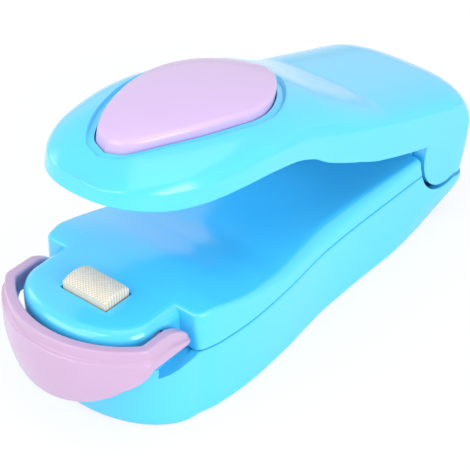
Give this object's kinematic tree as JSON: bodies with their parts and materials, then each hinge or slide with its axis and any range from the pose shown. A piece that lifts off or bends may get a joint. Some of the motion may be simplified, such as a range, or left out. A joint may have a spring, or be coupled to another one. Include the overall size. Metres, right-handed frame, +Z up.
{
  "type": "hand-held bag sealer",
  "caption": "Hand-held battery heat sealer for plastic bags: waisted casing, sprung lever with a thumb button, heater block in the nose and a hinged guard.",
  "frame": {"origin": "on the plane that the casing rests on, under the middle of the part's bounding box", "axes": "+Z up, +Y from the nose to the hinge along the casing, +X across it"},
  "size_m": [0.0458, 0.124, 0.0603],
  "materials": {
    "blue_abs": "glossy moulded",
    "lilac_abs": "glossy moulded",
    "grey_abs": "satin moulded",
    "heat_plastic": "matt moulded",
    "coated_cloth": "coated glass cloth",
    "pink_silicone": "soft, matt",
    "nickel_steel": "nickel plated",
    "contact_brass": "bare",
    "cell_can": "plain wrapped",
    "red_pvc": "soft sleeve",
    "black_pvc": "soft sleeve"
  },
  "bodies": {
    "casing": {"lower_shell": "blue_abs", "upper_shell": "blue_abs", "cell_left": "cell_can", "cell_right": "cell_can", "contact_minus": "nickel_steel", "contact_plus": "nickel_steel", "contact_bridge": "nickel_steel", "cell_spring_front": "nickel_steel", "cell_spring_rear": "nickel_steel", "heater_spring": "nickel_steel", "switch_strip_left": "contact_brass", "switch_strip_right": "contact_brass", "lead_black": "black_pvc", "lead_red": "red_pvc", "base_screw_front_left": "nickel_steel", "base_screw_front_right": "nickel_steel", "base_screw_rear_left": "nickel_steel", "base_screw_rear_right": "nickel_steel", "hinge_pin": "nickel_steel", "torsion_spring": "nickel_steel"},
    "lever": {"arm_shell": "blue_abs", "arm_underplate": "blue_abs", "arm_screw_left": "nickel_steel", "arm_screw_right": "nickel_steel", "button_spring_front": "nickel_steel", "button_spring_rear": "nickel_steel"},
    "button": {"thumb_button": "lilac_abs", "presser_holder": "grey_abs", "presser_strip": "pink_silicone"},
    "heater": {"heater_carrier": "heat_plastic", "heater_ribbon": "nickel_steel", "heater_cloth": "coated_cloth"},
    "guard": {"guard": "lilac_abs"},
    "door": {"battery_door": "blue_abs"}
  },
  "joints": [
    {"name": "lever_hinge", "type": "hinge", "parent": "casing", "child": "lever", "pos_m": [0, 0.05036, 0.02], "axis": [1, 0, 0], "range_deg": [0, 12.7], "stiffness_Nm_per_rad": 0.6, "springref_deg": -5.73},
    {"name": "guard_hinge", "type": "hinge", "parent": "casing", "child": "guard", "pos_m": [0, -0.04504, 0.0218], "axis": [1, 0, 0], "range_deg": [-90, 0]},
    {"name": "heater_press", "type": "slide", "parent": "casing", "child": "heater", "axis": [0, 0, -1], "range_m": [0, 0.0015], "stiffness_N_per_m": 900, "springref_m": -0.001, "deforming": ["heater_spring"]},
    {"name": "battery_door_slide", "type": "slide", "parent": "casing", "child": "door", "axis": [0, 1, 0], "range_m": [0, 0.075]},
    {"name": "button_press", "type": "slide", "parent": "lever", "child": "button", "axis": [0, -0.2756, -0.9613], "range_m": [0, 0.0012], "stiffness_N_per_m": 900, "springref_m": -0.001, "deforming": ["button_spring_front", "button_spring_rear"]}
  ]
}
